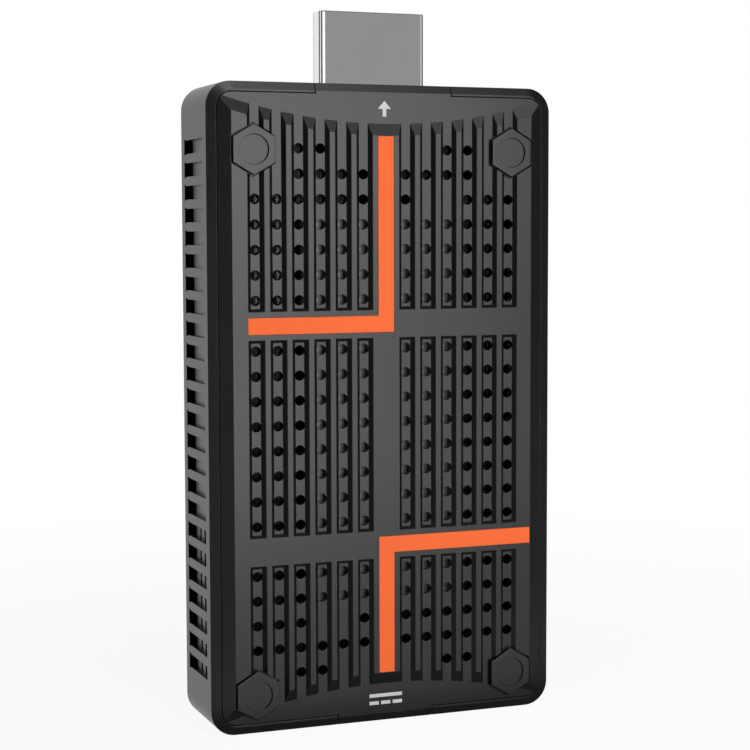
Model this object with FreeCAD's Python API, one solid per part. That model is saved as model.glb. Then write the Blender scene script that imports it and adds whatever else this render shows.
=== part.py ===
import FreeCAD, Part
import math
import os

os.makedirs("parts", exist_ok=True)
Vec = FreeCAD.Vector

# Sizes in mm. x runs to the right, y from the front to the back, z up.
# Inside this file y is 0 at the floor of the front cover and z is 0 at mid height.

# Case
body_width = 45.4
body_height = 79.6
body_back = 11.85
corner_radius = 3.05
back_round = 0.4
rim_drop = 0.4
rim_side = 1.3
rim_end = 0.95
lip = 1.2
side_wall = 1.8
back_wall = 1.5
seam = 0.1

# How far a cut runs past a face, and how deep a joined piece starts inside its neighbour
clear = 1.0
bite = 0.1

# Front cover
cover_thick = 1.2
plateau_rise = 0.53
plateau_inset = 1.6
arc_radius = 71.0
plateau_from_end = 4.82
ramp_length = 1.45
channel_pitch = 2.8
channel_floor = 1.18
channels_per_side = 6
flank = 0.46
row_pitch = 3.07
row_count = 22
lattice_mid = -0.375
bar_rows = (7, 16)
bar_top = 3.44
bar_flank = 0.36
hole_diameter = 1.24
top_tab_width = 17.84
bottom_tab_width = 12.6
tab_thick = 1.7
tab_link = 1.0

# Stripes
stripe_width = 2.06
stripe_depth = 0.28
stripe_land = 0.05
stripe_left_inset = 1.9

# Corner caps, screws and the posts that take them
cap_from_side = 5.7
cap_from_top = 8.15
cap_from_bottom = 4.85
cap_flats = 5.3
cap_gap = 0.19
cap_rise = 0.2
cap_seat = 0.3
cap_dish = 3.7
cap_dish_depth = 0.12
head_diameter = 3.4
head_height = 1.0
head_gap = 0.2
screw_seat = 1.5
screw_shank = 2.0
screw_length = 7.0
screw_slot = 0.5
screw_slot_length = 2.4
screw_slot_depth = 0.45
screw_end_room = 0.5
screw_hole = 2.2
cover_post = 5.6
cover_post_end = 2.4
post_diameter = 3.8
post_base = 5.2
post_gap = 0.1

# Side slots
slot_count = 24
slot_pitch = 2.8
slot_height = 1.68
slot_front = 1.9
slot_front_depth = 0.4
slot_ramp_end = 8.7
slot_ramp_depth = 0.68
slot_from_back = 1.75
slot_flare = 0.18
slot_flare_length = 0.9
slit_slots = 7
slit_width = 0.75
slit_places = (3.75, 5.95)

# Main board
board_mid = 6.1
board_thick = 1.0
board_gap_side = 0.7
board_gap_end = 0.4
board_corner = 1.0

# Video plug
plug_width = 13.9
plug_thick = 4.45
plug_reach = 9.2
plug_inside = 6.3
plug_wall = 0.35
plug_corner = 0.7
plug_straight = 2.9
plug_chamfer = 1.55
plug_gap = 0.05
plug_board_gap = 0.1
plug_recess = 0.8
plug_slot_width = 11.4
plug_slot_depth = 7.2
pin_pitch = 1.0
pin_width = 0.4
pin_thick = 0.2
pin_front = 10
pin_back = 9
pin_tail = 1.6
pin_setback = 0.6

# Power inlet
inlet_width = 8.94
inlet_thick = 3.26
inlet_wall = 0.3
inlet_length = 7.3
inlet_setback = 0.2
inlet_gap = 0.2
inlet_block = 1.4
inlet_tongue_width = 6.7
inlet_tongue_thick = 0.7
inlet_tongue_tip = 0.9
inlet_wing = 1.1
inlet_wing_length = 1.4
inlet_wing_thick = 0.25
inlet_wing_setback = 1.0
inlet_pins = 6
inlet_pin_pitch = 1.0
inlet_pin_width = 0.4
inlet_pin_thick = 0.1
inlet_pin_setback = 0.5

# Cooling
spreader_width = 19.2
spreader_height = 48.8
spreader_thick = 1.0
spreader_corner = 1.0
stake_diameter = 1.2
stake_x = 7.0
stake_z = 21.9
stake_past = 0.4
pad_width = 13.0

# Parts soldered on the board, as width, height and thickness, in a column up from the inlet
inductor_size = (4.2, 4.2, 2.0)
inductor_x = 4.0
inductor_gap = 2.7
power_chip_size = (4.0, 4.0, 0.8)
power_chip_x = -3.0
storage_size = (8.0, 6.0, 0.9)
storage_gap = 2.9
memory_size = (9.0, 8.0, 1.1)
memory_gap = 3.0
processor_size = (12.0, 12.0, 1.5)
processor_gap = 3.5
crystal_size = (3.2, 2.5, 0.7)
crystal_gap = 3.25
capacitor_size = (1.6, 0.8, 0.8)
capacitor_space = 1.5
capacitor_shift = -0.5
capacitor_pitch = 2.6
capacitor_count = 6

# Radio, below the top left post
radio_chip_size = (6.0, 6.0, 0.9)
shield_size = (9.2, 19.5, 2.3)
shield_wall = 0.2
shield_edge = 0.8
shield_post_gap = 2.2

# Antennas, standing on edge on the board
antenna_thick = 0.3
antenna_tall = 2.7
antenna_foot = 2.0
antenna_foot_inset = 1.0
antenna_long = 26.5
antenna_left_edge = 0.8
antenna_left_gap = 4.05
antenna_right_edge = 4.9
antenna_right_gap = 5.25

# Pairing button and status light, on the bottom end
button_x = 10.6
button_diameter = 2.6
button_gap = 0.1
button_recess = 0.2
button_travel = 0.3
flange_width = 3.8
flange_depth = 1.8
flange_thick = 0.35
flange_gap = 0.02
plunger_diameter = 1.2
plunger_gap = 0.06
plunger_depth = 1.0
switch_size = (4.8, 3.2, 2.2)
switch_edge = 0.7
light_x = -10.6
pipe_diameter = 1.6
pipe_recess = 0.05
pipe_gap = 0.05
led_size = (1.6, 0.9, 1.0)

half_w = body_width / 2
half_h = body_height / 2
cover_half_w = half_w - lip - seam
cover_half_h = half_h - lip - seam
plateau_half = cover_half_w - plateau_inset
plateau_y = -plateau_rise
arc_mid = half_h - plateau_from_end
first_row = lattice_mid + row_pitch * (row_count - 1) / 2
stripe_left = stripe_left_inset - plateau_half
cap_top = plateau_y - cap_rise
cap_x = half_w - cap_from_side
cap_top_z = half_h - cap_from_top
cap_bottom_z = cap_from_bottom - half_h
inner_back = body_back - back_wall
slot_back = body_back - slot_from_back
board_front = board_mid - board_thick / 2
board_rear = board_mid + board_thick / 2
board_half_w = half_w - side_wall - board_gap_side
board_half_h = half_h - side_wall - board_gap_end
plug_front = board_mid - plug_thick / 2
plug_back = board_mid + plug_thick / 2
plug_tip = half_h + plug_reach
plug_rear = half_h - plug_inside
core_tip = plug_tip - plug_recess
inlet_mouth = inlet_setback - half_h
inlet_rear = inlet_mouth + inlet_length
spreader_back = cover_thick + spreader_thick
power_z = inlet_rear + inductor_gap + inductor_size[1] / 2
storage_z = power_z + storage_gap + (inductor_size[1] + storage_size[1]) / 2
memory_z = storage_z + memory_gap + (storage_size[1] + memory_size[1]) / 2
processor_z = memory_z + processor_gap + (memory_size[1] + processor_size[1]) / 2
processor_front = board_front - processor_size[2]
crystal_z = processor_z + crystal_gap + (processor_size[1] + crystal_size[1]) / 2
capacitor_x = (processor_size[0] + capacitor_size[0]) / 2 + capacitor_space
capacitor_first = processor_z + capacitor_shift - capacitor_pitch * (capacitor_count - 1) / 2
shield_x = shield_edge + shield_size[0] / 2 - board_half_w
shield_z = cap_top_z - post_diameter / 2 - shield_post_gap - shield_size[1] / 2
shield_at = (shield_x, shield_z)
antenna_left_low = cap_bottom_z + post_diameter / 2 + antenna_left_gap
antenna_right_low = cap_top_z - post_diameter / 2 - antenna_right_gap - antenna_long
switch_low = switch_edge - board_half_h
button_y = board_front - switch_size[2] / 2
light_y = board_front - led_size[2] / 2
post_places = [(x, z) for z in (cap_top_z, cap_bottom_z) for x in (-cap_x, cap_x)]
stake_places = [(x, lattice_mid + z) for x in (-stake_x, stake_x) for z in (-stake_z, stake_z)]
row_frame = Vec(0, -(body_back + cap_top) / 2, half_h)


def row_z(row):
    return first_row - row_pitch * row


def box(x0, x1, y0, y1, z0, z1):
    return Part.makeBox(x1 - x0, y1 - y0, z1 - z0, Vec(x0, y0, z0))


def rod(x, z, diameter, y0, y1):
    return Part.makeCylinder(diameter / 2, y1 - y0, Vec(x, y0, z), Vec(0, 1, 0))


def post(x, y, diameter, z0, z1):
    return Part.makeCylinder(diameter / 2, z1 - z0, Vec(x, y, z0), Vec(0, 0, 1))


def block(centre, size, front):
    """A soldered part: centre in x and z, size, and the y of its front face."""
    x, z = centre
    width, height, thick = size
    return box(x - width / 2, x + width / 2, front, front + thick, z - height / 2, z + height / 2)


def face_of(points, direction):
    wire = Part.makePolygon([Vec(*p) for p in points] + [Vec(*points[0])])
    return Part.Face(wire).extrude(Vec(*direction))


def rounded_wire(half_x, half_z, radius, y):
    """A rounded rectangle in the plane y, centred on the z axis."""
    edges = []
    centres = [(1, 1), (-1, 1), (-1, -1), (1, -1)]
    starts = [0, 90, 180, 270]
    corners = []
    for (sx, sz), start in zip(centres, starts):
        cx, cz = sx * (half_x - radius), sz * (half_z - radius)
        points = []
        for turn in (0, 45, 90):
            angle = math.radians(start + turn)
            points.append(Vec(cx + radius * math.cos(angle), y, cz + radius * math.sin(angle)))
        corners.append(points)
    for i, points in enumerate(corners):
        edges.append(Part.Arc(*points).toShape())
        edges.append(Part.makeLine(points[2], corners[(i + 1) % 4][0]))
    return Part.Wire(edges)


def rounded_prism(half_x, half_z, radius, y0, y1):
    face = Part.Face(rounded_wire(half_x, half_z, radius, y0))
    return face.extrude(Vec(0, y1 - y0, 0))


def oval_prism(width, thick, mid_y, z0, z1):
    """A slot-shaped bar along z, round at its two sides."""
    reach = (width - thick) / 2
    bar = box(-reach, reach, mid_y - thick / 2, mid_y + thick / 2, z0, z1)
    ends = [post(x, mid_y, thick, z0, z1) for x in (-reach, reach)]
    return bar.fuse(ends).removeSplitter()


def hexagon(x, z, flats, y0, y1):
    reach = flats / math.sqrt(3)
    points = []
    for i in range(6):
        angle = math.radians(30 + 60 * i)
        points.append((x + reach * math.cos(angle), y0, z + reach * math.sin(angle)))
    return face_of(points, (0, y1 - y0, 0))


def arc_z(x, shift):
    return arc_mid - shift + x * x / (2 * arc_radius)


def plateau_wire(half_x, shift, y):
    """The plateau's outline: two straight sides between two shallow arcs."""
    side, mid = arc_z(half_x, shift), arc_z(0, shift)
    top = Part.Arc(Vec(half_x, y, side), Vec(0, y, mid), Vec(-half_x, y, side)).toShape()
    left = Part.makeLine(Vec(-half_x, y, side), Vec(-half_x, y, -side))
    low = Part.Arc(Vec(-half_x, y, -side), Vec(0, y, -mid), Vec(half_x, y, -side)).toShape()
    right = Part.makeLine(Vec(half_x, y, -side), Vec(half_x, y, side))
    return Part.Wire([top, left, low, right])


def plateau_solid():
    foot = plateau_wire(cover_half_w, 0, 0)
    brow = plateau_wire(plateau_half, ramp_length, plateau_y)
    rise = Part.makeLoft([foot, brow], True, True)
    limit = rounded_prism(cover_half_w, cover_half_h, corner_radius - lip, plateau_y - clear, clear)
    return rise.common(limit)


def channel(x, z0, z1):
    """A cutter with sloping sides and ends: floor at y 0, wider at the plateau."""
    wires = []
    for rises in (0, 2):
        grow_x = channel_floor / 2 + flank * rises
        grow_z = bar_flank * rises
        y = -plateau_rise * rises
        points = [Vec(x + sx * grow_x, y, z) for sx, z in
                  ((-1, z0 - grow_z), (1, z0 - grow_z), (1, z1 + grow_z), (-1, z1 + grow_z))]
        wires.append(Part.makePolygon(points + [points[0]]))
    return Part.makeLoft(wires, True, True)


def channel_columns():
    steps = range(1, channels_per_side + 1)
    return [side * step * channel_pitch for side in (-1, 1) for step in steps]


def channel_cutters():
    bar_base = bar_top / 2 + bar_flank
    upper, lower = (row_z(row) for row in bar_rows)
    spans = [(upper + bar_base, half_h), (lower + bar_base, upper - bar_base), (-half_h, lower - bar_base)]
    return [channel(x, z0, z1) for x in channel_columns() for z0, z1 in spans]


def hole_columns(row):
    """Columns with a vent hole in this row, counted outwards from the centre bar."""
    outer = list(range(1, channels_per_side + 1))
    left, right = list(outer), list(outer)
    if row in bar_rows:
        return [], []
    if row in (0, row_count - 1):
        return [3, 4], [3, 4]
    if row == 1:
        return [1, 2, 3, 4], [1, 2, 3, 4]
    if row == 2:
        right = [step for step in outer if step not in (2, 3)]
    if row == row_count - 3:
        left = [step for step in outer if step not in (2, 3)]
    return left, right


def vent_holes():
    holes = []
    for row in range(row_count):
        for side, steps in zip((-1, 1), hole_columns(row)):
            for step in steps:
                holes.append(rod(side * step * channel_pitch, row_z(row), hole_diameter,
                                 plateau_y - clear, cover_thick + clear))
    return holes


def stripe_shapes(y0, y1):
    """The two angled stripes, as bars from y0 to y1."""
    half = stripe_width / 2
    end = arc_z(0, ramp_length) - stripe_land
    upper, lower = (row_z(row) for row in bar_rows)
    right_end = plateau_half - stripe_land
    first = [(-half, end), (half, end), (half, upper - half),
             (stripe_left, upper - half), (stripe_left, upper + half), (-half, upper + half)]
    second = [(-half, lower + half), (right_end, lower + half), (right_end, lower - half),
              (half, lower - half), (half, -end), (-half, -end)]
    return [face_of([(x, y0, z) for x, z in outline], (0, y1 - y0, 0)) for outline in (first, second)]


def end_tab(width, sign, depth, gap):
    """Part of the cover that reaches over the rim and down the end wall."""
    half = width / 2 + gap
    low, high = half_h - tab_thick - gap, half_h
    z0, z1 = (low, high) if sign > 0 else (-high, -low)
    return box(-half, half, 0, depth + gap, z0, z1)


def tab_strip(width, sign):
    """The strip that joins an end tab to the plate of the cover."""
    z0, z1 = sorted((sign * (cover_half_h - tab_link), sign * (half_h - tab_thick + bite)))
    return box(-width / 2, width / 2, 0, cover_thick, z0, z1)


def inlet_opening(z0, z1):
    return oval_prism(inlet_width + 2 * inlet_gap, inlet_thick + 2 * inlet_gap, board_mid, z0, z1)


def outer_block():
    """The case's outside, with the bevelled rim and the rounded back edge."""
    front = rounded_wire(half_w - rim_side, half_h - rim_end, corner_radius - rim_end, 0)
    edge = rounded_wire(half_w, half_h, corner_radius, rim_drop)
    bevel = Part.makeLoft([front, edge], True, True)
    body = rounded_prism(half_w, half_h, corner_radius, rim_drop, body_back)
    back_edges = [e for e in body.Edges if abs(e.BoundBox.YMin - body_back) < 1e-6]
    body = body.makeFillet(back_round, back_edges)
    return bevel.fuse(body).removeSplitter()


def side_slots():
    cutters = []
    half = slot_height / 2
    for side in (-1, 1):
        out, deep = side * (half_w + clear), side * (half_w - side_wall - bite)
        shallow, floor = side * (half_w - slot_front_depth), side * (half_w - slot_ramp_depth)
        for i in range(slot_count):
            z = slot_pitch * ((slot_count - 1) / 2 - i)
            ramp = [(out, slot_front), (shallow, slot_front), (floor, slot_ramp_end),
                    (floor, slot_ramp_end + bite), (out, slot_ramp_end + bite)]
            cutters.append(face_of([(x, y, z - half) for x, y in ramp], (0, 0, slot_height)))
            flare = slot_back - slot_flare_length
            window = [(slot_ramp_end, -half), (flare, -half), (slot_back, -half - slot_flare),
                      (slot_back, half + slot_flare), (flare, half), (slot_ramp_end, half)]
            cutters.append(face_of([(deep, y, z + h) for y, h in window], (out - deep, 0, 0)))
            if i >= slot_count - slit_slots:
                for y in slit_places:
                    x0, x1 = sorted((deep, out))
                    cutters.append(box(x0, x1, y, y + slit_width, z - half, z + half))
    return cutters


def plug_profile(inset, z0, z1):
    """The plug's cross section: rounded at the front, chamfered at the back."""
    half = plug_width / 2 - inset
    y0, y1 = plug_front + inset, plug_back - inset
    turn = plug_front + plug_straight
    slant = plug_chamfer
    r = max(plug_corner - inset, plug_corner / 10)
    k = r * (1 - math.sqrt(0.5))
    left = Part.Arc(Vec(-half, y0 + r, z0), Vec(-half + k, y0 + k, z0), Vec(-half + r, y0, z0)).toShape()
    front = Part.makeLine(Vec(-half + r, y0, z0), Vec(half - r, y0, z0))
    right = Part.Arc(Vec(half - r, y0, z0), Vec(half - k, y0 + k, z0), Vec(half, y0 + r, z0)).toShape()
    rest = Part.makePolygon([Vec(half, y0 + r, z0), Vec(half, turn, z0), Vec(half - slant, y1, z0),
                             Vec(-half + slant, y1, z0), Vec(-half, turn, z0), Vec(-half, y0 + r, z0)])
    return Part.Face(Part.Wire([left, front, right] + rest.Edges)).extrude(Vec(0, 0, z1 - z0))


def make_front_cover():
    plate = rounded_prism(cover_half_w, cover_half_h, corner_radius - lip, 0, cover_thick)
    cover = plate.fuse(plateau_solid())
    cover = cover.cut(channel_cutters())
    top_tab = end_tab(top_tab_width, 1, plug_front, 0)
    low_tab = end_tab(bottom_tab_width, -1, board_mid, 0)
    tabs = top_tab.fuse([low_tab, tab_strip(top_tab_width, 1), tab_strip(bottom_tab_width, -1)])
    tabs = tabs.common(outer_block()).cut(inlet_opening(-half_h - clear, 0))
    posts = [rod(x, z, cover_post, cover_thick - bite, cover_post_end) for x, z in post_places]
    stakes = [rod(x, z, stake_diameter, cover_thick - bite, spreader_back + stake_past)
              for x, z in stake_places]
    cover = cover.fuse([tabs] + posts + stakes).removeSplitter()
    cuts = vent_holes() + stripe_shapes(plateau_y - clear, plateau_y + stripe_depth)
    for x, z in post_places:
        cuts.append(hexagon(x, z, cap_flats + 2 * cap_gap, cap_top - clear, cap_seat))
        cuts.append(rod(x, z, head_diameter + 2 * head_gap, 0, screw_seat))
        cuts.append(rod(x, z, screw_hole, 0, cover_post_end + clear))
    return cover.cut(cuts)


def make_back_shell():
    shell = outer_block()
    recess = rounded_prism(half_w - lip, half_h - lip, corner_radius - lip, -clear, cover_thick)
    cavity = rounded_prism(half_w - side_wall, half_h - side_wall, corner_radius - side_wall, 0, inner_back)
    shell = shell.cut([recess, cavity])
    posts = []
    for x, z in post_places:
        posts.append(rod(x, z, post_base, board_rear, inner_back + bite))
        posts.append(rod(x, z, post_diameter, cover_post_end, board_rear + bite))
    shell = shell.fuse(posts).removeSplitter()
    cuts = side_slots()
    cuts.append(end_tab(top_tab_width, 1, plug_front, seam))
    cuts.append(end_tab(bottom_tab_width, -1, board_mid, seam))
    cuts.append(plug_profile(-plug_gap, plug_rear, half_h + clear))
    low, high = -half_h - clear, -half_h + side_wall + bite
    cuts.append(inlet_opening(low, high))
    cuts.append(post(button_x, button_y, button_diameter + 2 * button_gap, low, high))
    cuts.append(post(light_x, light_y, pipe_diameter, low, high))
    cuts += [rod(x, z, screw_shank, 0, screw_seat + screw_length + screw_end_room) for x, z in post_places]
    return shell.cut(cuts)


def make_cap(x, z):
    cap = hexagon(x, z, cap_flats, cap_top, cap_seat)
    return cap.cut(rod(x, z, cap_dish, cap_top - clear, cap_top + cap_dish_depth))


def make_screw(x, z):
    head_front = screw_seat - head_height
    head = rod(x, z, head_diameter, head_front, screw_seat)
    shank = rod(x, z, screw_shank, screw_seat - bite, screw_seat + screw_length)
    screw = head.fuse(shank).removeSplitter()
    arm, half = screw_slot_length / 2, screw_slot / 2
    y0, y1 = head_front - clear, head_front + screw_slot_depth
    return screw.cut([box(x - arm, x + arm, y0, y1, z - half, z + half),
                      box(x - half, x + half, y0, y1, z - arm, z + arm)])


def make_board():
    board = rounded_prism(board_half_w, board_half_h, board_corner, board_front, board_rear)
    plug_half = plug_width / 2 + plug_board_gap
    inlet_half = inlet_width / 2 + inlet_gap
    cuts = [box(-plug_half, plug_half, 0, body_back, plug_rear, half_h),
            box(-inlet_half, inlet_half, 0, body_back, -half_h, inlet_rear)]
    cuts += [rod(x, z, post_diameter + 2 * post_gap, 0, body_back) for x, z in post_places]
    return board.cut(cuts)


def on_board(centre, size):
    return block(centre, size, board_front - size[2])


def make_shield():
    wide, tall, thick = shield_size
    inner = (wide - 2 * shield_wall, tall - 2 * shield_wall, thick)
    front = board_front - thick
    return block(shield_at, shield_size, front).cut(block(shield_at, inner, front + shield_wall))


def make_antenna(x, low):
    front = board_front - antenna_tall
    blade = box(x, x + antenna_thick, front, board_front, low, low + antenna_long)
    foot = box(x, x + antenna_foot, board_front - antenna_thick, board_front,
               low + antenna_foot_inset, low + antenna_long - antenna_foot_inset)
    return blade.fuse(foot).removeSplitter()


def pin_rows():
    rows = []
    for count, y0 in ((pin_front, board_front - pin_thick), (pin_back, board_rear)):
        for i in range(count):
            x = pin_pitch * (i - (count - 1) / 2)
            rows.append(box(x - pin_width / 2, x + pin_width / 2, y0, y0 + pin_thick,
                            plug_rear - pin_tail, core_tip - pin_setback))
    return rows


def make_plug():
    """The metal shell, the plastic core and the contacts of the video plug."""
    shell = plug_profile(0, plug_rear, plug_tip)
    shell = shell.cut(plug_profile(plug_wall, plug_rear - clear, plug_tip + clear))
    core = plug_profile(plug_wall, plug_rear, core_tip)
    half = plug_slot_width / 2
    slot = box(-half, half, board_front, board_rear, core_tip - plug_slot_depth, plug_tip + clear)
    pins = pin_rows()
    return shell, core.cut([slot] + pins), Part.makeCompound(pins)


def make_inlet():
    """The metal shell, the tongue on its block and the contacts of the power inlet."""
    inner_width, inner_thick = inlet_width - 2 * inlet_wall, inlet_thick - 2 * inlet_wall
    hollow = oval_prism(inner_width, inner_thick, board_mid, inlet_mouth - clear, inlet_rear + clear)
    outside = oval_prism(inlet_width, inlet_thick, board_mid, inlet_mouth, inlet_rear)
    reach = inlet_width / 2 + inlet_wing
    wing_rear = inlet_rear - inlet_wing_setback
    wings = box(-reach, reach, board_front - inlet_wing_thick, board_front,
                wing_rear - inlet_wing_length, wing_rear)
    shell = outside.fuse(wings).cut(hollow).removeSplitter()
    core = oval_prism(inner_width, inner_thick, board_mid, inlet_rear - inlet_block, inlet_rear)
    half, thick = inlet_tongue_width / 2, inlet_tongue_thick / 2
    tongue = box(-half, half, board_mid - thick, board_mid + thick,
                 inlet_mouth + inlet_tongue_tip, inlet_rear - bite)
    core = core.fuse(tongue).removeSplitter()
    pins = []
    for y in (board_mid - thick - inlet_pin_thick, board_mid + thick):
        for i in range(inlet_pins):
            x = inlet_pin_pitch * (i - (inlet_pins - 1) / 2)
            pins.append(box(x - inlet_pin_width / 2, x + inlet_pin_width / 2, y, y + inlet_pin_thick,
                            inlet_mouth + inlet_tongue_tip + inlet_pin_setback, inlet_rear - inlet_block))
    return shell, core, Part.makeCompound(pins)


def make_spreader():
    half_x, half_z = spreader_width / 2, spreader_height / 2
    plate = rounded_prism(half_x, half_z, spreader_corner, cover_thick, spreader_back)
    plate.translate(Vec(0, 0, lattice_mid))
    return plate.cut([rod(x, z, stake_diameter, 0, body_back) for x, z in stake_places])


def make_button():
    """The button with its flange, and the plunger that it pushes."""
    flange_low = -half_h + side_wall + flange_gap
    flange_high = flange_low + flange_thick
    stem = post(button_x, button_y, button_diameter, -half_h + button_recess, flange_low + bite)
    flange = box(button_x - flange_width / 2, button_x + flange_width / 2, button_y - flange_depth / 2,
                 button_y + flange_depth / 2, flange_low, flange_high)
    plunger = post(button_x, button_y, plunger_diameter, flange_high,
                   switch_low + plunger_depth - button_travel - plunger_gap)
    return stem.fuse(flange).removeSplitter(), plunger


def make_switch():
    tall, thick = switch_size[1:]
    body = block((button_x, switch_low + tall / 2), switch_size, board_front - thick)
    return body.cut(post(button_x, button_y, plunger_diameter + 2 * plunger_gap, switch_low - clear,
                         switch_low + plunger_depth))


def make_pipe():
    """The clear rod that carries the status light to the end wall."""
    return post(light_x, light_y, pipe_diameter, pipe_recess - half_h, -board_half_h - pipe_gap)


plug_shell, plug_core, plug_pins = make_plug()
inlet_shell, inlet_core, inlet_pins_shape = make_inlet()
button, plunger = make_button()
stripes = stripe_shapes(plateau_y, plateau_y + stripe_depth)
pad_size = (pad_width, pad_width, processor_front - spreader_back)
capacitors = [on_board((capacitor_x, capacitor_first + capacitor_pitch * i), capacitor_size)
              for i in range(capacitor_count)]

nodes = {
    "back_shell": make_back_shell(),
    "front_cover": make_front_cover(),
    "upper_stripe": stripes[0],
    "lower_stripe": stripes[1],
    "corner_cap_top_left": make_cap(-cap_x, cap_top_z),
    "corner_cap_top_right": make_cap(cap_x, cap_top_z),
    "corner_cap_bottom_left": make_cap(-cap_x, cap_bottom_z),
    "corner_cap_bottom_right": make_cap(cap_x, cap_bottom_z),
    "case_screws": Part.makeCompound([make_screw(x, z) for x, z in post_places]),
    "main_board": make_board(),
    "processor": on_board((0, processor_z), processor_size),
    "memory_chip": on_board((0, memory_z), memory_size),
    "storage_chip": on_board((0, storage_z), storage_size),
    "power_chip": on_board((power_chip_x, power_z), power_chip_size),
    "power_inductor": on_board((inductor_x, power_z), inductor_size),
    "crystal": on_board((0, crystal_z), crystal_size),
    "filter_capacitors": Part.makeCompound(capacitors),
    "radio_chip": on_board(shield_at, radio_chip_size),
    "radio_shield": make_shield(),
    "antenna_left": make_antenna(antenna_left_edge - board_half_w, antenna_left_low),
    "antenna_right": make_antenna(board_half_w - antenna_right_edge, antenna_right_low),
    "heat_spreader": make_spreader(),
    "thermal_pad": block((0, processor_z), pad_size, spreader_back),
    "plug_shell": plug_shell,
    "plug_core": plug_core,
    "plug_contacts": plug_pins,
    "inlet_shell": inlet_shell,
    "inlet_tongue": inlet_core,
    "inlet_contacts": inlet_pins_shape,
    "pairing_button": button,
    "switch_plunger": plunger,
    "pairing_switch": make_switch(),
    "status_light": on_board((light_x, led_size[1] / 2 - board_half_h), led_size),
    "light_pipe": make_pipe(),
}

for name, shape in nodes.items():
    shape.translate(row_frame)
    shape.exportStep("parts/" + name + ".step")
    print(name, "solids", len(shape.Solids), "valid", shape.isValid(), "volume", round(shape.Volume, 2))
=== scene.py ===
import bmesh
import bpy
import math
from mathutils import Matrix, Vector


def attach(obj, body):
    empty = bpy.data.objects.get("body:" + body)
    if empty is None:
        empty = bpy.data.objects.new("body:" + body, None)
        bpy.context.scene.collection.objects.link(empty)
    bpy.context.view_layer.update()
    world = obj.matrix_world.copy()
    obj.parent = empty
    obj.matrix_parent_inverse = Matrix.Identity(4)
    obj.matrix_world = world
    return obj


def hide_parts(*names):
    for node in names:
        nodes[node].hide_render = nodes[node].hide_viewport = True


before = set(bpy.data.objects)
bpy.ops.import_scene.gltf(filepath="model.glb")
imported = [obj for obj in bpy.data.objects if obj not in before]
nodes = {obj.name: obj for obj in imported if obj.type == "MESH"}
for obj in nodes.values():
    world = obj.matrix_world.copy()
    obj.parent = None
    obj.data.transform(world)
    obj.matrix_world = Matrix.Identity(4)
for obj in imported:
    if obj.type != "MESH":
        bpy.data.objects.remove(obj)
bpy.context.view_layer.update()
mm = 0.001
print("frame loaded with", len(nodes), "nodes")


# A shader node's output, which can be added, multiplied and so on

class Signal:
    def __init__(self, finish, socket):
        self.finish = finish
        self.socket = socket

    def sum(self, operation, first, second):
        return self.finish.node("ShaderNodeMath", {"operation": operation}, {0: first, 1: second})

    def __add__(self, other):
        return self.sum("ADD", self, other)

    def __radd__(self, other):
        return self.sum("ADD", other, self)

    def __sub__(self, other):
        return self.sum("SUBTRACT", self, other)

    def __rsub__(self, other):
        return self.sum("SUBTRACT", other, self)

    def __mul__(self, other):
        return self.sum("MULTIPLY", self, other)

    def __rmul__(self, other):
        return self.sum("MULTIPLY", other, self)


# A material with its Principled shader. One method makes any node: its settings first, then its sockets
class Finish:
    def __init__(self, name, color, **values):
        self.material = bpy.data.materials.new(name)
        self.material.use_nodes = True
        self.tree = self.material.node_tree
        self.shader = self.tree.nodes["Principled BSDF"]
        self.material.diffuse_color = (*color, 1)
        self.set("Base Color", (*color, 1))
        for socket, value in values.items():
            self.set(socket.replace("_", " "), value)

    def set(self, socket, value):
        self.feed(self.shader.inputs[socket], value)

    def feed(self, socket, value):
        if isinstance(value, Signal):
            self.tree.links.new(value.socket, socket)
        else:
            socket.default_value = value

    def node(self, kind, settings=None, inputs=None, output=0):
        made = self.tree.nodes.new(kind)
        for name, value in (settings or {}).items():
            if name == "stops":
                for place, shade in value:
                    stop = made.color_ramp.elements.new(place)
                    stop.color = (shade, shade, shade, 1)
                made.color_ramp.elements.remove(made.color_ramp.elements[0])
                made.color_ramp.elements.remove(made.color_ramp.elements[-1])
            else:
                setattr(made, name, value)
        for key, value in (inputs or {}).items():
            self.feed(made.inputs[key], value)
        return Signal(self, made.outputs[output])

    def place(self, stretch=(1, 1, 1)):
        spot = self.node("ShaderNodeTexCoord", output="Object")
        return self.node("ShaderNodeMapping", None, {"Vector": spot, "Scale": stretch})

    def noise(self, grain, detail=3.0, stretch=(1, 1, 1)):
        return self.node("ShaderNodeTexNoise", None,
                         {"Vector": self.place(stretch), "Scale": 1 / grain, "Detail": detail})

    def tint(self, mask, first, second):
        return self.node("ShaderNodeMix", {"data_type": "RGBA"},
                         {0: mask, 6: (*first, 1), 7: (*second, 1)}, 2)

    def relief(self, height, depth, edge):
        rounded = self.node("ShaderNodeBevel", {"samples": bevelSamples}, {"Radius": edge})
        bump = self.node("ShaderNodeBump", None,
                         {"Height": height, "Distance": depth, "Strength": 1.0, "Normal": rounded})
        self.set("Normal", bump)


# Finishes. In each, "shades" are the darkest and the lightest tone, as multiples of the colour, "spread" is
# how much the roughness varies, and "edge" is the radius to which the shading rounds an edge

bevelSamples = 6


def shadesOf(color, shades):
    return [tuple(min(1, part * shade) for part in color) for shade in shades]


plasticSettings = {
    "grain": 0.11 * mm,          # spark-eroded texture of the mould
    "depth": 0.0022 * mm,
    "patch": 9 * mm,             # slow change of gloss over a face
    "edge": 0.09 * mm,
    "shades": (0.88, 1.12),
    "grainShare": 0.6,
}


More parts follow.
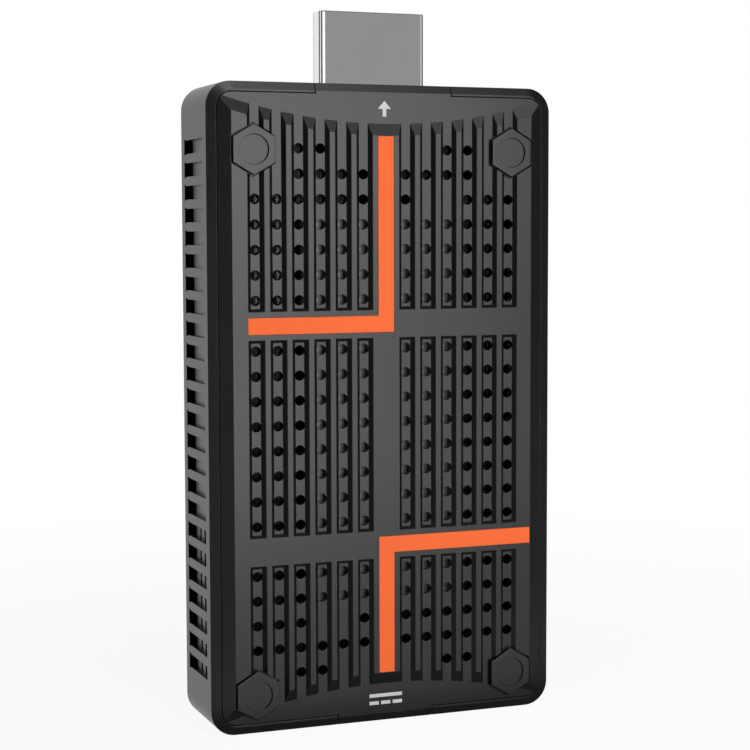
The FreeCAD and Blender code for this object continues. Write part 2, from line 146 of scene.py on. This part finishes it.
def plasticFinish(name, color, roughness, specular=0.5, spread=0.05, edge=plasticSettings["edge"]):
    finish = Finish(name, color, Specular_IOR_Level=specular)
    grain = finish.noise(plasticSettings["grain"], detail=4.0)
    patch = finish.noise(plasticSettings["patch"], detail=2.0)
    share = plasticSettings["grainShare"]
    mottle = grain * share + patch * (1 - share)
    finish.set("Base Color", finish.tint(mottle, *shadesOf(color, plasticSettings["shades"])))
    finish.set("Roughness", roughness - spread / 2 + (grain + patch) * (spread / 2))
    finish.relief(grain, plasticSettings["depth"], edge)
    return finish.material


metalSettings = {
    "grain": 0.05 * mm,          # width of a brush line
    "length": 30,                # its length, as a multiple of its width
    "depth": 0.0006 * mm,
    "stain": 2.5 * mm,
    "edge": 0.06 * mm,
    "shades": (0.94, 1),
    "lineShare": 0.6,
}


def metalFinish(name, color, roughness, spread=0.06):
    finish = Finish(name, color, Metallic=1.0)
    lines = finish.noise(metalSettings["grain"], detail=2.0, stretch=(1, 1, 1 / metalSettings["length"]))
    stain = finish.noise(metalSettings["stain"])
    mottle = (lines + stain) * 0.5
    finish.set("Base Color", finish.tint(mottle, *shadesOf(color, metalSettings["shades"])))
    share = metalSettings["lineShare"]
    finish.set("Roughness", roughness - spread / 2 + (lines * share + stain * (1 - share)) * spread)
    finish.relief(lines, metalSettings["depth"], metalSettings["edge"])
    return finish.material


boardSettings = {
    "mask": (0.009, 0.013, 0.011),
    "copper": (0.02, 0.03, 0.025),
    "pitch": 0.9 * mm,
    "stretch": (1, 1, 0.35),
    "traceStops": [(0.0, 1.0), (0.09, 1.0), (0.13, 0.0)],
    "weave": 0.25 * mm,
    "roughness": 0.3,
    "spread": 0.15,
    "traceShare": 0.7,
    "depth": 0.012 * mm,
    "edge": 0.04 * mm,
}


def boardFinish():
    finish = Finish("solderMask", boardSettings["mask"])
    spot = finish.place(boardSettings["stretch"])
    cells = finish.node("ShaderNodeTexVoronoi", {"distance": "MANHATTAN", "feature": "DISTANCE_TO_EDGE"},
                        {"Vector": spot, "Scale": 1 / boardSettings["pitch"]})
    trace = finish.node("ShaderNodeValToRGB", {"stops": boardSettings["traceStops"]}, {0: cells})
    weave = finish.noise(boardSettings["weave"])
    share = boardSettings["traceShare"]
    finish.set("Base Color", finish.tint(trace, boardSettings["mask"], boardSettings["copper"]))
    finish.set("Roughness", boardSettings["roughness"] + weave * boardSettings["spread"])
    finish.relief(trace * share + weave * (1 - share), boardSettings["depth"], boardSettings["edge"])
    return finish.material


mouldedSettings = {
    "grain": 0.14 * mm,
    "depth": 0.006 * mm,
    "edge": 0.05 * mm,
    "shades": (0.8, 1.15),
    "spread": 0.12,
}


def mouldedFinish(name, color, roughness):
    finish = Finish(name, color, Specular_IOR_Level=0.4)
    grain = finish.noise(mouldedSettings["grain"], detail=4.0)
    finish.set("Base Color", finish.tint(grain, *shadesOf(color, mouldedSettings["shades"])))
    finish.set("Roughness", roughness + grain * mouldedSettings["spread"])
    finish.relief(grain, mouldedSettings["depth"], mouldedSettings["edge"])
    return finish.material


printSettings = {
    "dark": (0.52, 0.52, 0.52),
    "light": (0.66, 0.66, 0.66),
    "roughness": 0.5,
    "spread": 0.15,
    "speckle": 0.08 * mm,
    "depth": 0.002 * mm,
    "edge": 0.02 * mm,
}


def printFinish():
    finish = Finish("markPrint", printSettings["light"], Specular_IOR_Level=0.35)
    speckle = finish.noise(printSettings["speckle"], detail=4.0)
    finish.set("Base Color", finish.tint(speckle, printSettings["dark"], printSettings["light"]))
    finish.set("Roughness", printSettings["roughness"] + speckle * printSettings["spread"])
    finish.relief(speckle, printSettings["depth"], printSettings["edge"])
    return finish.material


clearSettings = {
    "roughness": 0.12,
    "spread": 0.1,
    "shades": (0.95, 1),
    "haze": 0.3 * mm,
    "depth": 0.002 * mm,
    "edge": 0.05 * mm,
}


def clearFinish(name, color):
    finish = Finish(name, color, Transmission_Weight=0.75, IOR=1.49)
    haze = finish.noise(clearSettings["haze"])
    finish.set("Base Color", finish.tint(haze, *shadesOf(color, clearSettings["shades"])))
    finish.set("Roughness", clearSettings["roughness"] + haze * clearSettings["spread"])
    finish.relief(haze, clearSettings["depth"], clearSettings["edge"])
    return finish.material


caseDark = (0.004, 0.004, 0.0041)
orange = (0.92, 0.145, 0.035)

finishes = {
    "case": plasticFinish("casePlastic", caseDark, 0.36),
    "cover": plasticFinish("coverPlastic", caseDark, 0.34),
    "cap": plasticFinish("capPlastic", caseDark, 0.34, edge=0.03 * mm),
    "button": plasticFinish("buttonPlastic", (0.01, 0.01, 0.0102), 0.3),
    "stripe": plasticFinish("stripePlastic", orange, 0.6, 0.15),
    "insulator": mouldedFinish("insulatorPlastic", (0.014, 0.014, 0.014), 0.42),
    "chip": mouldedFinish("chipMoulding", (0.018, 0.018, 0.019), 0.45),
    "ferrite": mouldedFinish("ferriteBody", (0.06, 0.06, 0.062), 0.55),
    "ceramic": mouldedFinish("ceramicBody", (0.3, 0.2, 0.12), 0.4),
    "pad": mouldedFinish("thermalPad", (0.35, 0.38, 0.42), 0.6),
    "board": boardFinish(),
    "plug": metalFinish("plugSteel", (0.75, 0.75, 0.75), 0.1, 0.03),
    "inlet": metalFinish("inletSteel", (0.62, 0.62, 0.62), 0.24),
    "screw": metalFinish("screwZinc", (0.5, 0.5, 0.51), 0.3),
    "can": metalFinish("tinPlate", (0.4, 0.4, 0.4), 0.36),
    "spreader": metalFinish("anodisedPlate", (0.075, 0.075, 0.078), 0.38),
    "gold": metalFinish("contactGold", (0.85, 0.6, 0.24), 0.25),
    "print": printFinish(),
    "clear": clearFinish("clearPlastic", (0.9, 0.92, 0.93)),
    "lamp": clearFinish("lampPlastic", (0.9, 0.9, 0.82)),
}

nodeFinishes = {
    "back_shell": "case", "front_cover": "cover", "upper_stripe": "stripe", "lower_stripe": "stripe",
    "corner_cap_top_left": "cap", "corner_cap_top_right": "cap",
    "corner_cap_bottom_left": "cap", "corner_cap_bottom_right": "cap",
    "case_screws": "screw", "main_board": "board", "processor": "chip", "memory_chip": "chip",
    "storage_chip": "chip", "power_chip": "chip", "power_inductor": "ferrite", "crystal": "can",
    "filter_capacitors": "ceramic", "radio_chip": "chip", "radio_shield": "can", "antenna_left": "can",
    "antenna_right": "can", "heat_spreader": "spreader", "thermal_pad": "pad", "plug_shell": "plug",
    "plug_core": "insulator", "plug_contacts": "gold", "inlet_shell": "inlet", "inlet_tongue": "insulator",
    "inlet_contacts": "gold", "pairing_button": "button", "switch_plunger": "insulator",
    "pairing_switch": "insulator", "status_light": "lamp", "light_pipe": "clear",
}
for nodeName, finishName in nodeFinishes.items():
    nodes[nodeName].data.materials.clear()
    nodes[nodeName].data.materials.append(finishes[finishName])
print("finishes made and given to the nodes")


# Meshes. All the sizes below are in mm, in the frame of the model

meshSettings = {"weld": 0.0001, "sharpAngle": 32}
quarter = math.pi / 2


def addPiece(name, points, faces, finish, body, replaced=None):
    mesh = bpy.data.meshes.new(name)
    mesh.from_pydata([Vector(point) * mm for point in points], [], faces)
    form = bmesh.new()
    form.from_mesh(mesh)
    bmesh.ops.remove_doubles(form, verts=form.verts, dist=meshSettings["weld"] * mm)
    bmesh.ops.recalc_face_normals(form, faces=form.faces)
    form.to_mesh(mesh)
    form.free()
    mesh.shade_smooth()
    mesh.set_sharp_from_angle(angle=math.radians(meshSettings["sharpAngle"]))
    mesh.materials.append(finishes[finish])
    piece = bpy.data.objects.new(name, mesh)
    bpy.context.scene.collection.objects.link(piece)
    if replaced:
        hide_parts(replaced)
    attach(piece, body)


# Joins rings of points into a closed skin, alone or added to the points and faces given
def loftRings(rings, points=None, faces=None, capped=True):
    points = [] if points is None else points
    faces = [] if faces is None else faces
    count, first = len(rings[0]), len(points)
    for ring in rings:
        points.extend(ring)
    for i in range(len(rings) - 1):
        low = first + i * count
        for j in range(count):
            k = (j + 1) % count
            faces.append((low + j, low + k, low + count + k, low + count + j))
    if capped:
        last = first + (len(rings) - 1) * count
        faces.append(tuple(first + j for j in range(count)))
        faces.append(tuple(last + j for j in range(count)))
    return points, faces


# A rounded edge as pairs of inset and drop. Before and after it, a ring can hold the flat faces flat
def roundSteps(radius, steps=4, before=0, after=0):
    turns = [quarter * i / steps for i in range(steps + 1)]
    pairs = [(radius * (1 - math.cos(turn)), radius * (1 - math.sin(turn))) for turn in turns]
    first = [(0, radius + before)] if before else []
    last = [(radius + after, 0)] if after else []
    return first + pairs + last


def insetOutline(outline, inset):
    moved = []
    count = len(outline)
    for i in range(count):
        before, here, after = (Vector(outline[(i + k) % count]) for k in (-1, 0, 1))
        first, second = (here - before).normalized(), (after - here).normalized()
        sides = [Vector((-edge.y, edge.x)) for edge in (first, second)]
        both = sides[0] + sides[1]
        moved.append(tuple(here + both * (inset / (1 + sides[0].dot(sides[1])))))
    return moved


def plateRings(outline, back, front, edge, hold=0):
    turned = outline if outlineArea(outline) > 0 else outline[::-1]
    rings = [[(x, back, z) for x, z in turned]]
    for inset, drop in roundSteps(edge, steps=3, before=hold, after=hold):
        rings.append([(x, front + drop, z) for x, z in insetOutline(turned, inset)])
    return rings


def outlineArea(outline):
    pairs = zip(outline, outline[1:] + outline[:1])
    return sum(xa * zb - xb * za for (xa, za), (xb, zb) in pairs) / 2


# Corner caps: six-sided, with a round dish

capSettings = {
    "places": {"top_left": (-17, 71.45), "top_right": (17, 71.45), "bottom_left": (-17, 4.85),
               "bottom_right": (17, 4.85)},
    "flats": 5.3,
    "seat": -5.26,
    "top": -6.29,
    "edge": 0.05,
    "hold": 0.12,
    "dish": 3.7,
    "dishDepth": 0.28,
    "dishEdge": 0.01,
    "dishFoot": 0.05,            # the small bevel where the dish's wall meets its floor
    "dishMiddle": 0.4,
    "steps": 48,
}


def makeCap(name, x, z):
    count, apothem = capSettings["steps"], capSettings["flats"] / 2
    seat, top, edge = capSettings["seat"], capSettings["top"], capSettings["edge"]
    dish, floor = capSettings["dish"] / 2, top + capSettings["dishDepth"]
    rim, foot, hold = (capSettings[key] for key in ("dishEdge", "dishFoot", "hold"))
    turns = [math.tau * i / count for i in range(count)]
    half = math.tau / 12

    def sixSided(y, inset):
        ring = []
        for turn in turns:
            reach = (apothem - inset) / math.cos((turn + half) % (2 * half) - half)
            ring.append((x + reach * math.cos(turn), y, z + reach * math.sin(turn)))
        return ring

    def circle(y, radius):
        return [(x + radius * math.cos(turn), y, z + radius * math.sin(turn)) for turn in turns]

    rings = [sixSided(seat, 0)]
    rings += [sixSided(top + drop, inset) for inset, drop in roundSteps(edge, before=hold, after=hold)]
    rings += [circle(top, dish + rim), circle(top + rim, dish), circle(floor - foot, dish - rim),
              circle(floor, dish - rim - foot), circle(floor, capSettings["dishMiddle"])]
    points, faces = loftRings(rings)
    addPiece("cap_" + name, points, faces, "cap", "case", "corner_cap_" + name)


# Stripes, let into the plateau

stripeSettings = {
    "front": -6.09,
    "back": -5.81,
    "edge": 0.05,
    "hold": 0.1,
    "upper": [(-1.03, 73.28), (1.03, 73.28), (1.03, 49.14), (-17.9, 49.14), (-17.9, 51.2), (-1.03, 51.2)],
    "lower": [(-1.03, 23.57), (19.75, 23.57), (19.75, 21.51), (1.03, 21.51), (1.03, 6.32), (-1.03, 6.32)],
}


def makeStripe(side):
    rings = plateRings(stripeSettings[side], stripeSettings["back"], stripeSettings["front"],
                       stripeSettings["edge"], stripeSettings["hold"])
    points, faces = loftRings(rings)
    addPiece("stripe_" + side, points, faces, "stripe", "case", side + "_stripe")


# Marks printed on the cover: an arrow to the plug, and the sign for direct current over the inlet

markSettings = {
    "front": -5.58,
    "back": -5.55,
    "edge": 0.008,
    "arrow": [(-0.24, 75.67), (0.24, 75.67), (0.24, 76.62), (0.86, 76.62), (0, 77.6), (-0.86, 76.62),
              (-0.24, 76.62)],
    "line": [(-2.2, 3.06), (2.2, 3.06), (2.2, 3.5), (-2.2, 3.5)],
    "dashes": [-2.2, -0.63, 0.94],
    "dash": (1.26, 0.44),
    "dashLow": 2.12,
}


def makeMarks():
    wide, tall = markSettings["dash"]
    low = markSettings["dashLow"]
    outlines = [markSettings["arrow"], markSettings["line"]]
    outlines += [[(x, low), (x + wide, low), (x + wide, low + tall), (x, low + tall)]
                 for x in markSettings["dashes"]]
    points, faces = [], []
    for outline in outlines:
        rings = plateRings(outline, markSettings["back"], markSettings["front"], markSettings["edge"])
        loftRings(rings, points, faces)
    addPiece("printed_marks", points, faces, "print", "case")


# Video plug: a folded steel shell with a rolled mouth and a seam at the back

plugSettings = {
    "width": 13.9,
    "front": -1.685,
    "back": 2.765,
    "straight": 2.9,
    "chamfer": 1.55,
    "corner": 0.64,
    "innerCorner": 0.1,
    "arcSteps": 8,
    "wall": 0.35,
    "rear": 73.3,
    "tip": 88.8,
    "lip": 0.12,
    "soft": 0.15,                # how far from a bend the rings that hold its sides flat are
    "seamHalf": 0.06,
    "seamDepth": 0.08,
}


def plugOutline(inset, seam):
    half = plugSettings["width"] / 2 - inset
    front, back = plugSettings["front"] + inset, plugSettings["back"] - inset
    turn, slant = plugSettings["front"] + plugSettings["straight"], plugSettings["chamfer"]
    radius = max(plugSettings["corner"] - inset, plugSettings["innerCorner"])
    narrow, soft, steps = (plugSettings[key] for key in ("seamHalf", "soft", "arcSteps"))
    outline = []
    for side, start in ((-1, 2), (1, 3)):
        arc = []
        for i in range(steps + 1):
            angle = quarter * (start + i / steps)
            x = side * (half - radius) + radius * math.cos(angle)
            arc.append((x, front + radius + radius * math.sin(angle)))
        sideHold, faceHold = (side * half, front + radius + soft), (side * (half - radius - soft), front)
        outline += [sideHold] + arc + [faceHold] if side < 0 else [faceHold] + arc + [sideHold]
    slope = Vector((-slant, back - turn)).normalized() * soft
    outline += [(half, turn - soft), (half + slope.x, turn + slope.y),
                (half - slant - slope.x, back - slope.y), (half - slant - soft, back)]
    outline += [(narrow, back), (narrow, back - seam), (-narrow, back - seam), (-narrow, back)]
    outline += [(-half + slant + soft, back), (-half + slant + slope.x, back - slope.y),
                (-half - slope.x, turn + slope.y), (-half, turn - soft)]
    return outline


def makePlugShell():
    tip, rear, lip, wall = (plugSettings[key] for key in ("tip", "rear", "lip", "wall"))
    seam = plugSettings["seamDepth"]
    rings = [[(x, y, rear) for x, y in plugOutline(0, seam)]]
    for inset, drop in roundSteps(lip, before=plugSettings["soft"]):
        rings.append([(x, y, tip - drop) for x, y in plugOutline(inset, seam * (1 - inset / lip))])
    for inset, drop in roundSteps(lip)[::-1]:
        rings.append([(x, y, tip - drop) for x, y in plugOutline(wall - inset, 0)])
    rings.append([(x, y, rear) for x, y in plugOutline(wall, 0)])
    rings.append(rings[0])
    points, faces = loftRings(rings, capped=False)
    addPiece("plug_casing", points, faces, "plug", "case", "plug_shell")


# Pairing button: a crowned stem on a flange, and the light pipe beside it

buttonSettings = {
    "place": (10.6, -1.06),
    "radius": 1.3,
    "end": 0.2,
    "crown": 0.12,
    "crownSteps": 8,
    "edge": 0.18,
    "overlap": 0.05,             # how far the stem runs into the flange
    "flange": (3.8, 1.8, 0.35),
    "flangeLow": 1.82,
    "flangeEdge": 0.08,
}

pipeSettings = {
    "place": (-10.6, -0.46),
    "radius": 0.8,
    "end": 0.05,
    "top": 2.15,
    "dome": 0.22,
    "domeSteps": 9,
    "bevel": (0.06, 0.1),        # at the top, across and down
}


def turnedRings(place, profile, steps=40):
    x, y = place
    turns = [math.tau * i / steps for i in range(steps)]
    return [[(x + radius * math.cos(turn), y + radius * math.sin(turn), z) for turn in turns]
            for radius, z in profile]


def makeButton():
    radius, end, crown, edge = (buttonSettings[key] for key in ("radius", "end", "crown", "edge"))
    steps = buttonSettings["crownSteps"]
    profile = []
    for i in range(1, steps + 1):
        reach = (radius - edge) * i / steps
        profile.append((reach, end + crown * (reach / radius) ** 2))
    shoulder = profile[-1][1]
    profile += [(radius - inset, shoulder + drop) for inset, drop in roundSteps(edge)[::-1]][1:]
    profile.append((radius, buttonSettings["flangeLow"] + buttonSettings["overlap"]))
    points, faces = loftRings(turnedRings(buttonSettings["place"], profile))
    x, y = buttonSettings["place"]
    wide, deep, thick = buttonSettings["flange"]
    low, soft = buttonSettings["flangeLow"], buttonSettings["flangeEdge"]
    outline = [(x - wide / 2, y - deep / 2), (x + wide / 2, y - deep / 2), (x + wide / 2, y + deep / 2),
               (x - wide / 2, y + deep / 2)]
    rings = [[(a, b, low + drop) for a, b in insetOutline(outline, inset)]
             for inset, drop in roundSteps(soft, steps=3)[::-1]]
    rings += [[(a, b, low + thick - drop) for a, b in insetOutline(outline, inset)]
              for inset, drop in roundSteps(soft, steps=3)]
    loftRings(rings, points, faces)
    addPiece("button_cap", points, faces, "button", "button", "pairing_button")


def makeLightPipe():
    radius, end, top, dome = (pipeSettings[key] for key in ("radius", "end", "top", "dome"))
    across, down = pipeSettings["bevel"]
    steps = pipeSettings["domeSteps"]
    profile = []
    for i in range(1, steps + 1):
        turn = quarter * i / steps
        profile.append((radius * math.sin(turn), end + dome * (1 - math.cos(turn))))
    profile += [(radius, top - down), (radius - across, top)]
    points, faces = loftRings(turnedRings(pipeSettings["place"], profile))
    addPiece("light_lens", points, faces, "clear", "case", "light_pipe")


for capName, (capX, capZ) in capSettings["places"].items():
    makeCap(capName, capX, capZ)
print("caps made")
for stripeSide in ("upper", "lower"):
    makeStripe(stripeSide)
makeMarks()
print("stripes and marks made")
makePlugShell()
makeButton()
makeLightPipe()
print("plug, button and light pipe made")


# Stage

cameraSettings = {
    "place": (-0.083578, -0.219402, 0.061807),
    "right": (0.93327226, -0.35915919, -0.00274932),
    "down": (-0.03070387, -0.07215245, -0.99692091),
    "forward": (0.35785493, 0.93048305, -0.07836545),
    "lens": 88.79,
    "sensor": 36,
    "near": 0.01,
}


def makeCamera():
    lens = bpy.data.cameras.new("camera")
    lens.lens = cameraSettings["lens"]
    lens.sensor_width = cameraSettings["sensor"]
    lens.clip_start = cameraSettings["near"]
    camera = bpy.data.objects.new("camera", lens)
    bpy.context.scene.collection.objects.link(camera)
    right, down, forward = (Vector(cameraSettings[name]) for name in ("right", "down", "forward"))
    turn = Matrix((right, -down, -forward)).transposed().to_4x4()
    camera.matrix_world = Matrix.Translation(Vector(cameraSettings["place"])) @ turn
    bpy.context.scene.camera = camera


def seenLight(finish):
    path = finish.node("ShaderNodeLightPath")
    rays = path.socket.node.outputs
    seen = Signal(finish, rays["Is Camera Ray"]) + Signal(finish, rays["Is Glossy Ray"])
    return seen + Signal(finish, rays["Is Transmission Ray"])


# The floor's share of plain white: less round the object, where its shadow falls, and all of it further
# off. Seen from below, the floor is clear, so that the lower end shows
floorSettings = {
    "half": 3.0,
    "height": -0.03 * mm,
    "white": 0.95,
    "glow": (0.93, 1.0),
    "reach": (0.03, 0.2),
}


def makeFloor():
    half = floorSettings["half"]
    mesh = bpy.data.meshes.new("floor")
    corners = [(-half, -half), (half, -half), (half, half), (-half, half)]
    mesh.from_pydata([(x, y, floorSettings["height"]) for x, y in corners], [], [(0, 1, 2, 3)])
    floor = bpy.data.objects.new("floor", mesh)
    bpy.context.scene.collection.objects.link(floor)
    white = floorSettings["white"]
    finish = Finish("floorWhite", (white, white, white), Roughness=0.9, Specular_IOR_Level=0.0)
    glow = finish.node("ShaderNodeEmission", None, {"Color": (1, 1, 1, 1), "Strength": 1.0})
    spot = finish.node("ShaderNodeTexCoord", output="Object")
    away = finish.node("ShaderNodeVectorMath", {"operation": "LENGTH"}, {0: spot}, "Value")
    (near, far), (start, end) = floorSettings["glow"], floorSettings["reach"]
    glowShare = finish.node(
        "ShaderNodeMapRange", {"interpolation_type": "SMOOTHSTEP"},
        {"Value": away, "From Min": start, "From Max": end, "To Min": near, "To Max": far})
    share = seenLight(finish) * glowShare
    above = finish.node("ShaderNodeMixShader", None,
                        {0: share, 1: Signal(finish, finish.shader.outputs[0]), 2: glow})
    under = finish.node("ShaderNodeNewGeometry", output="Backfacing")
    clear = finish.node("ShaderNodeBsdfTransparent")
    shown = finish.node("ShaderNodeMixShader", None, {0: under, 1: above, 2: clear})
    output = finish.tree.nodes["Material Output"]
    finish.feed(output.inputs["Surface"], shown)
    mesh.materials.append(finish.material)


worldSettings = {"fill": 0.03}


def makeWorld():
    world = bpy.data.worlds.new("studio")
    bpy.context.scene.world = world
    world.use_nodes = True
    tree = world.node_tree
    back = tree.nodes["Background"]
    back.inputs["Color"].default_value = (1, 1, 1, 1)
    path = tree.nodes.new("ShaderNodeLightPath")
    seen = path.outputs["Is Camera Ray"]
    for ray in ("Is Glossy Ray", "Is Transmission Ray"):
        both = tree.nodes.new("ShaderNodeMath")
        both.operation = "MAXIMUM"
        tree.links.new(seen, both.inputs[0])
        tree.links.new(path.outputs[ray], both.inputs[1])
        seen = both.outputs[0]
    level = tree.nodes.new("ShaderNodeMapRange")
    level.inputs["To Min"].default_value = worldSettings["fill"]
    level.inputs["To Max"].default_value = 1.0
    tree.links.new(seen, level.inputs["Value"])
    tree.links.new(level.outputs["Result"], back.inputs["Strength"])


# Lamps: middle, size across and up, the point each looks at, and its radiance. Those under "plug" light the
# plug's casing alone, and those under "case" all the rest
lampSettings = {
    "case": {
        "frontLow": {"at": (40, -150, 13.5), "size": (95, 29), "to": (40, 0, 13.5), "level": 3.8},
        "frontMid": {"at": (40, -150, 42.5), "size": (95, 29), "to": (40, 0, 42.5), "level": 1.6},
        "frontHigh": {"at": (40, -150, 71.5), "size": (95, 29), "to": (40, 0, 71.5), "level": 4.4},
        "frontTop": {"at": (40, -150, 108), "size": (95, 44), "to": (40, 0, 108), "level": 4.1},
        "edgeStrip": {"at": (0, -152, 42), "size": (26, 86), "to": (0, 0, 42), "level": 4.5},
        "frontRight": {"at": (112, -150, 42), "size": (48, 86), "to": (112, 0, 42), "level": 0.6},
        "skyBox": {"at": (33, -346, 439), "size": (200, 220), "to": (0, 0, 79), "level": 5.7},
        "rightPanel": {"at": (350, 61, 80), "size": (144, 240), "to": (0, 0, 80), "level": 1.4},
    },
    "plug": {
        "plugBox": {"at": (115, -150, 110), "size": (200, 100), "to": (115, 0, 110), "level": 0.36},
        "plugStrip": {"at": (-44, -148, 101), "size": (140, 60), "to": (-7, -1, 101), "level": 1.5},
        "plugLeft": {"at": (-150, -82, 101), "size": (190, 80), "to": (-7, -82, 101), "level": 0.17},
        "plugSide": {"at": (150, -75, 101), "size": (100, 80), "to": (7, 0, 101), "level": 0.7},
    },
}


def linkPlug(lamp, state):
    links = bpy.data.collections.new(lamp.name + "Link")
    links.objects.link(bpy.data.objects["plug_casing"])
    lamp.light_linking.receiver_collection = links
    for entry in links.collection_objects:
        entry.light_linking.link_state = state


def makeLamp(name, settings, plugState):
    light = bpy.data.lights.new(name, "AREA")
    light.shape = "RECTANGLE"
    light.size, light.size_y = (length * mm for length in settings["size"])
    light.energy = settings["level"] * light.size * light.size_y * math.pi
    lamp = bpy.data.objects.new(name, light)
    bpy.context.scene.collection.objects.link(lamp)
    at, to = (Vector(settings[key]) * mm for key in ("at", "to"))
    lamp.location = at
    lamp.rotation_mode = "QUATERNION"
    lamp.rotation_quaternion = (to - at).to_track_quat("-Z", "Y")
    lamp.visible_camera = False
    linkPlug(lamp, plugState)


def makeLamps():
    for group, plugState in (("case", "EXCLUDE"), ("plug", "INCLUDE")):
        for name, settings in lampSettings[group].items():
            makeLamp(name, settings, plugState)


# Cards, which only reflections see. Those round the object stand from one plan point to the next, each with
# its radiance and height. Those on the floor have their left, right, front and back edge and their radiance
cardSettings = {
    "plan": [(-260, 330), (-420, 110), (-420, -40), (-420, -420), (420, -420), (420, -40), (270, 330),
             (130, 400)],
    "levels": [0.01, 1.3, 0.01, 0.01, 0.03, 0.01, 0.01],
    "heights": [700, 700, 700, 1500, 700, 700, 700],
    "floorHeight": 0.02,
    "floor": {
        "cardNear": (-420, 420, -16, -4.9, 0.12),
        "cardMid": (-30, 55, -90, -16, 0.8),
        "cardLeft": (-420, -30, -90, -16, 0.2),
        "cardRight": (55, 420, -90, -16, 0.2),
        "cardFar": (-420, 420, -420, -90, 0.2),
    },
}


def makeCard(name, corners, level):
    finish = Finish(name, (0, 0, 0), Roughness=0.9, Specular_IOR_Level=0.0,
                    Emission_Color=(1, 1, 1, 1), Emission_Strength=level)
    mesh = bpy.data.meshes.new(name)
    mesh.from_pydata([Vector(corner) * mm for corner in corners], [], [(0, 1, 2, 3)])
    mesh.materials.append(finish.material)
    card = bpy.data.objects.new(name, mesh)
    bpy.context.scene.collection.objects.link(card)
    card.visible_camera = False
    card.visible_diffuse = False
    card.visible_shadow = False
    card.visible_transmission = False


def makeCards():
    plan, z = cardSettings["plan"], cardSettings["floorHeight"]
    for i, (level, high) in enumerate(zip(cardSettings["levels"], cardSettings["heights"])):
        (xa, ya), (xb, yb) = plan[i], plan[i + 1]
        makeCard(f"card{i}", [(xa, ya, 0), (xb, yb, 0), (xb, yb, high), (xa, ya, high)], level)
    for name, (left, right, front, back, level) in cardSettings["floor"].items():
        makeCard(name, [(left, front, z), (right, front, z), (right, back, z), (left, back, z)], level)


makeCamera()
makeFloor()
makeWorld()
makeLamps()
makeCards()
bpy.context.scene.view_settings.view_transform = "Standard"
print("camera, floor, world and lamps set")
